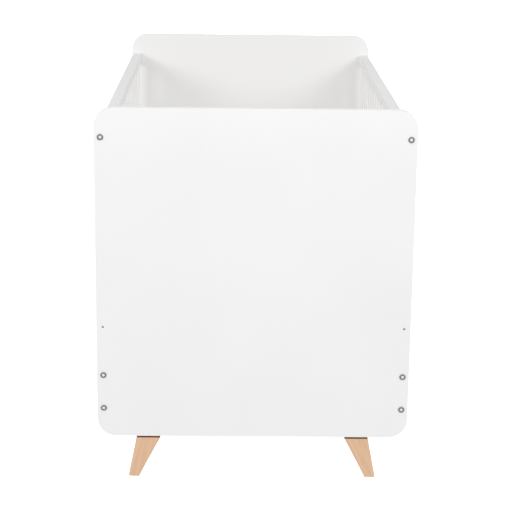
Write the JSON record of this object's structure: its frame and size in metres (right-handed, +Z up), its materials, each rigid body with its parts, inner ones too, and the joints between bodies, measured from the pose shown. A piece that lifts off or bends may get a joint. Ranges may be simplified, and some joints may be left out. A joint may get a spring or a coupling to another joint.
{
  "type": "baby crib",
  "caption": "Baby crib with solid round-cornered end panels, slatted sides, splayed wedge legs and a slatted mattress base that moves to three heights.",
  "frame": {"origin": "on the floor, under the middle of the crib", "axes": "+Z up, +Y along the crib from the foot end to the head end, +X across it to the right as seen from the foot end"},
  "size_m": [0.76, 1.4448, 0.925],
  "materials": {
    "end_panel": "white satin lacquer on 18 mm fibreboard, eased edges",
    "side_rail": "white satin lacquer on solid beech",
    "slats": "white satin lacquer on solid beech",
    "leg": "clear matt lacquer on solid beech, fine flecked grain",
    "batten": "clear matt lacquer on solid beech",
    "base_frame": "plain sanded birch, thin clear lacquer",
    "base_slats": "plain sanded birch slats on two white woven tapes",
    "connector_bolt": "zinc-plated steel, white plug in the socket",
    "support_bolt": "zinc-plated steel",
    "hanger_bolt": "zinc-plated steel",
    "barrel_nut": "zinc-plated steel",
    "hook_plate": "powder-coated light grey steel",
    "glide": "white nylon"
  },
  "bodies": {
    "crib_frame": {"foot_batten": "batten", "foot_left_bottom_bolt": "connector_bolt", "foot_left_bottom_nut": "barrel_nut", "foot_left_glide": "glide", "foot_left_hanger_bolt": "hanger_bolt", "foot_left_leg": "leg", "foot_left_middle_bolt": "connector_bolt", "foot_left_middle_nut": "barrel_nut", "foot_left_support_bolt": "support_bolt", "foot_left_top_bolt": "connector_bolt", "foot_left_top_nut": "barrel_nut", "foot_panel": "end_panel", "foot_right_bottom_bolt": "connector_bolt", "foot_right_bottom_nut": "barrel_nut", "foot_right_glide": "glide", "foot_right_hanger_bolt": "hanger_bolt", "foot_right_leg": "leg", "foot_right_middle_bolt": "connector_bolt", "foot_right_middle_nut": "barrel_nut", "foot_right_support_bolt": "support_bolt", "foot_right_top_bolt": "connector_bolt", "foot_right_top_nut": "barrel_nut", "head_batten": "batten", "head_left_bottom_bolt": "connector_bolt", "head_left_bottom_nut": "barrel_nut", "head_left_glide": "glide", "head_left_hanger_bolt": "hanger_bolt", "head_left_leg": "leg", "head_left_middle_bolt": "connector_bolt", "head_left_middle_nut": "barrel_nut", "head_left_support_bolt": "support_bolt", "head_left_top_bolt": "connector_bolt", "head_left_top_nut": "barrel_nut", "head_panel": "end_panel", "head_right_bottom_bolt": "connector_bolt", "head_right_bottom_nut": "barrel_nut", "head_right_glide": "glide", "head_right_hanger_bolt": "hanger_bolt", "head_right_leg": "leg", "head_right_middle_bolt": "connector_bolt", "head_right_middle_nut": "barrel_nut", "head_right_support_bolt": "support_bolt", "head_right_top_bolt": "connector_bolt", "head_right_top_nut": "barrel_nut", "left_bottom_rail": "side_rail", "left_slats": "slats", "left_top_rail": "side_rail", "right_bottom_rail": "side_rail", "right_slats": "slats", "right_top_rail": "side_rail"},
    "mattress_base": {"base_foot_rail": "base_frame", "base_head_rail": "base_frame", "base_left_rail": "base_frame", "base_right_rail": "base_frame", "base_slats": "base_slats", "foot_left_hook_plate": "hook_plate", "foot_right_hook_plate": "hook_plate", "head_left_hook_plate": "hook_plate", "head_right_hook_plate": "hook_plate"}
  },
  "joints": [
    {"name": "base_height", "type": "slide", "parent": "crib_frame", "child": "mattress_base", "axis": [0, 0, 1], "range_m": [0, 0.24]}
  ]
}
